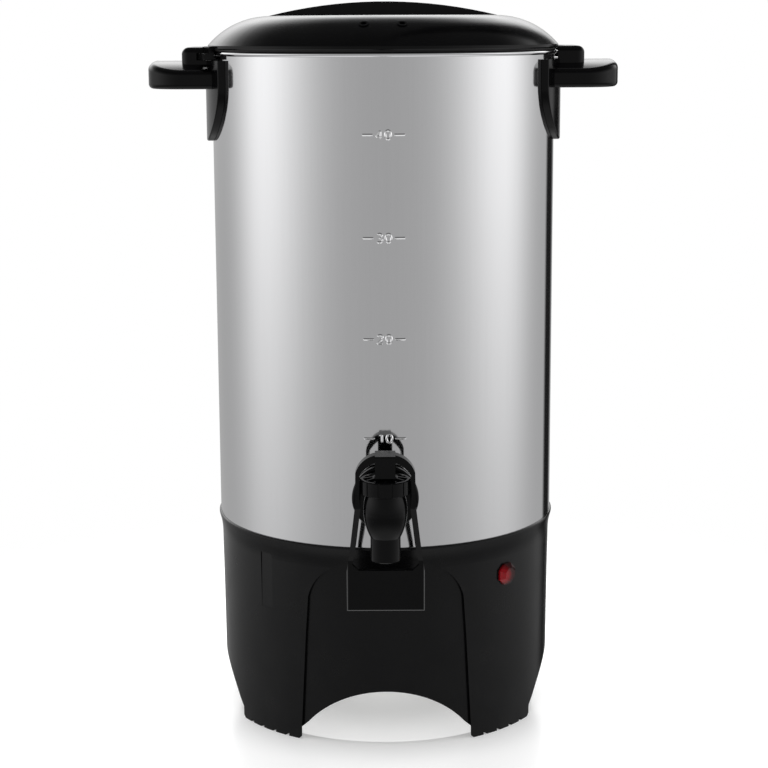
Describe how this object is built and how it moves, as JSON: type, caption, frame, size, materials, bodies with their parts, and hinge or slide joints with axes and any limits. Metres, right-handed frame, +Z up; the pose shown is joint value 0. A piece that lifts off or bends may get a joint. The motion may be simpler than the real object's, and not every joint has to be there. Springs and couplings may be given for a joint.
{
  "type": "coffee urn",
  "caption": "Cylindrical steel coffee urn on a black arched base, with twist-lock domed lid, side grips, lever tap and a lift-out percolator basket.",
  "frame": {"origin": "on the tank's axis, level with the soles of the feet", "axes": "+Z up the tank's axis, -Y towards the tap, +X towards the right-hand grip seen from the tap's side"},
  "size_m": [0.258, 0.234, 0.3987],
  "materials": {
    "polished_steel": "polished with a fine vertical draw",
    "plated_steel": "zinc plated",
    "satin_black": "satin moulded",
    "gloss_black": "gloss moulded",
    "black_nylon": "satin moulded",
    "red_lens": "clear red, faceted",
    "neon_glass": "clear",
    "black_rubber": "matt",
    "clear_silicone": "translucent",
    "stainless_pin": "ground",
    "spun_aluminium": "spun satin"
  },
  "bodies": {
    "urn": {"tank_shell": "polished_steel", "centre_stud": "plated_steel", "base_skirt": "satin_black", "bottom_cover": "plated_steel", "cover_screws": "plated_steel", "centre_nut": "plated_steel", "heater_spider": "plated_steel", "spider_nut": "plated_steel", "brew_heater": "spun_aluminium", "warm_heater": "spun_aluminium", "thermostat": "black_nylon", "thermal_fuse": "spun_aluminium", "terminal_block": "black_nylon", "lamp_lens": "red_lens", "neon_bulb": "neon_glass", "lamp_nut": "plated_steel", "cord_gland": "black_rubber", "right_handle": "gloss_black", "left_handle": "gloss_black", "handle_screws": "plated_steel", "screw_seals": "clear_silicone", "tap_body": "gloss_black", "outer_washer": "clear_silicone", "inner_washer": "clear_silicone", "tap_nut": "black_nylon", "bonnet": "gloss_black", "stem_spring": "plated_steel"},
    "lid_ring": {"lid_seal": "black_rubber"},
    "lid": {"lid_shell": "gloss_black"},
    "stem": {"valve_stem": "black_nylon", "seat_cup": "clear_silicone", "lever_pin": "stainless_pin"},
    "lever": {"tap_lever": "gloss_black"},
    "pump": {"pump_tube": "spun_aluminium", "pump_foot": "spun_aluminium"},
    "disc": {"flutter_disc": "stainless_pin"},
    "basket": {"coffee_basket": "spun_aluminium"},
    "cover": {"basket_cover": "spun_aluminium"}
  },
  "joints": [
    {"name": "lid_lift", "type": "slide", "parent": "urn", "child": "lid_ring", "axis": [0, 0, 1], "range_m": [0, 0.11]},
    {"name": "lid_turn", "type": "hinge", "parent": "lid_ring", "child": "lid", "pos_m": [0, 0, 0.3734], "axis": [0, 0, 1], "range_deg": [-18, 0]},
    {"name": "stem_slide", "type": "slide", "parent": "urn", "child": "stem", "axis": [0, 0, 1], "range_m": [0, 0.0014], "stiffness_N_per_m": 600, "springref_m": -0.006, "deforming": ["stem_spring"]},
    {"name": "lever_tilt", "type": "hinge", "parent": "stem", "child": "lever", "pos_m": [0, -0.12, 0.1646], "axis": [1, 0, 0], "range_deg": [0, 10]},
    {"name": "pump_lift", "type": "slide", "parent": "urn", "child": "pump", "axis": [0, 0, 1], "range_m": [0, 0.004]},
    {"name": "basket_lift", "type": "slide", "parent": "pump", "child": "basket", "axis": [0, 0, 1], "range_m": [0, 0.003]},
    {"name": "cover_lift", "type": "slide", "parent": "basket", "child": "cover", "axis": [0, 0, 1], "range_m": [0, 0.0025]},
    {"name": "disc_flutter", "type": "slide", "parent": "urn", "child": "disc", "axis": [0, 0, 1], "range_m": [0, 0.0015]}
  ],
  "couplings": [
    {"joint": "lever_tilt", "follows": "stem_slide", "rad_per_m": 124.66}
  ]
}
